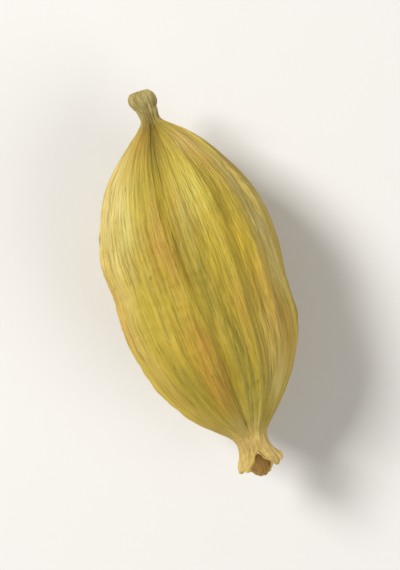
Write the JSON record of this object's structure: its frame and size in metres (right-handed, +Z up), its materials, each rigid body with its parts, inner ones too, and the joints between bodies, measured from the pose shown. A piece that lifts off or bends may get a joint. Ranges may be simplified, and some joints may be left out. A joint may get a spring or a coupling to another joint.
{
  "type": "green cardamom pod",
  "caption": "Dried cardamom pod: a spindle-shaped, three-valved, ribbed husk with a short stalk stub at one end and an open calyx remnant at the other.",
  "frame": {"origin": "middle of the small flat spot that the pod rests on, under the husk's belly", "axes": "+X along the pod, from the stalk stub to the calyx remnant; +Z up, away from the flat spot; one furrow between two valves faces up"},
  "size_m": [0.0178, 0.0078, 0.0072],
  "materials": {
    "husk": "dry, fibrous, matte yellow-green husk with fine lengthwise nerves, tan patches and paler ends"
  },
  "bodies": {
    "root": {"pod": "husk"}
  },
  "joints": []
}
